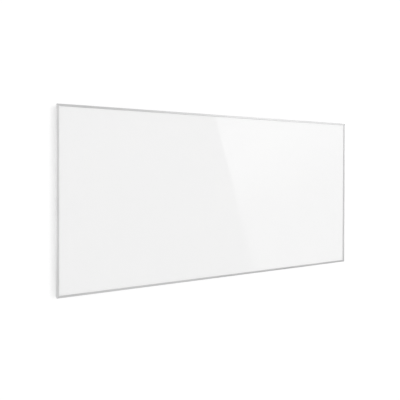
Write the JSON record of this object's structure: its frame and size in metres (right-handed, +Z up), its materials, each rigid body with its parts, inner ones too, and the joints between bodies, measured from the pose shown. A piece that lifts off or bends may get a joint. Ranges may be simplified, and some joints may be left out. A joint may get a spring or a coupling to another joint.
{
  "type": "infrared panel heater",
  "caption": "Flat wall-hung infrared heater: white glass front in a thin mitred aluminium frame, sheet-steel back with keyhole hangers and a terminal box.",
  "frame": {"origin": "in the wall plane, behind the middle of the panel", "axes": "+X to the right and +Z up as the room sees the panel, +Y into the wall; the glass faces -Y"},
  "size_m": [1.2, 0.0876, 0.6],
  "materials": {
    "front_glass": "toughened glass, white enamel behind it, high gloss",
    "frame_aluminium": "natural anodised, fine brushed",
    "glazing_tape": "matt foam",
    "cast_zinc": "as cast",
    "carbon_film": "printed carbon film, matt",
    "backing_laminate": "glass-fibre laminate",
    "foil": "bright foil",
    "mineral_board": "pressed mineral wool",
    "galvanised_sheet": "galvanised, fine spangle",
    "hanger_steel": "zinc plated",
    "screw_steel": "bright zinc plated",
    "box_plastic": "fine textured",
    "rubber": "matt",
    "clamp_plastic": "satin",
    "ceramic": "unglazed",
    "lead_brown": "silicone sheath",
    "lead_blue": "silicone sheath",
    "lead_green": "silicone sheath, green and yellow"
  },
  "bodies": {
    "wall": {"wall_screw_bottom_left": "screw_steel", "wall_screw_bottom_right": "screw_steel", "wall_screw_top_left": "screw_steel", "wall_screw_top_right": "screw_steel"},
    "panel": {"back_cover": "galvanised_sheet", "box_screw": "screw_steel", "cable_clamp": "clamp_plastic", "cable_grommet": "rubber", "clamp_screw_1": "screw_steel", "clamp_screw_2": "screw_steel", "corner_key_bottom_left": "cast_zinc", "corner_key_bottom_right": "cast_zinc", "corner_key_top_left": "cast_zinc", "corner_key_top_right": "cast_zinc", "cover_screw_bottom_1": "screw_steel", "cover_screw_bottom_2": "screw_steel", "cover_screw_bottom_3": "screw_steel", "cover_screw_left": "screw_steel", "cover_screw_right": "screw_steel", "cover_screw_top_1": "screw_steel", "cover_screw_top_2": "screw_steel", "cover_screw_top_3": "screw_steel", "earth_screw": "screw_steel", "film_backing": "backing_laminate", "frame_rail_bottom": "frame_aluminium", "frame_rail_left": "frame_aluminium", "frame_rail_right": "frame_aluminium", "frame_rail_top": "frame_aluminium", "front_glass": "front_glass", "glazing_tape_bottom": "glazing_tape", "glazing_tape_left": "glazing_tape", "glazing_tape_right": "glazing_tape", "glazing_tape_top": "glazing_tape", "hanger_bottom_left": "hanger_steel", "hanger_bottom_right": "hanger_steel", "hanger_screw_bottom_left_1": "screw_steel", "hanger_screw_bottom_left_2": "screw_steel", "hanger_screw_bottom_right_1": "screw_steel", "hanger_screw_bottom_right_2": "screw_steel", "hanger_screw_top_left_1": "screw_steel", "hanger_screw_top_left_2": "screw_steel", "hanger_screw_top_right_1": "screw_steel", "hanger_screw_top_right_2": "screw_steel", "hanger_top_left": "hanger_steel", "hanger_top_right": "hanger_steel", "heating_film": "carbon_film", "insulation_board": "mineral_board", "lead_earth": "lead_green", "lead_live": "lead_brown", "lead_live_link": "lead_brown", "lead_neutral": "lead_blue", "lid_gasket": "rubber", "lid_screw_1": "screw_steel", "lid_screw_2": "screw_steel", "reflector_foil": "foil", "terminal_block": "ceramic", "terminal_box_base": "box_plastic", "terminal_box_lid": "box_plastic", "thermal_cutout": "clamp_plastic"}
  },
  "joints": [
    {"name": "lift_off", "type": "slide", "parent": "wall", "child": "panel", "axis": [0, 0, 1], "range_m": [0, 0.014]}
  ]
}
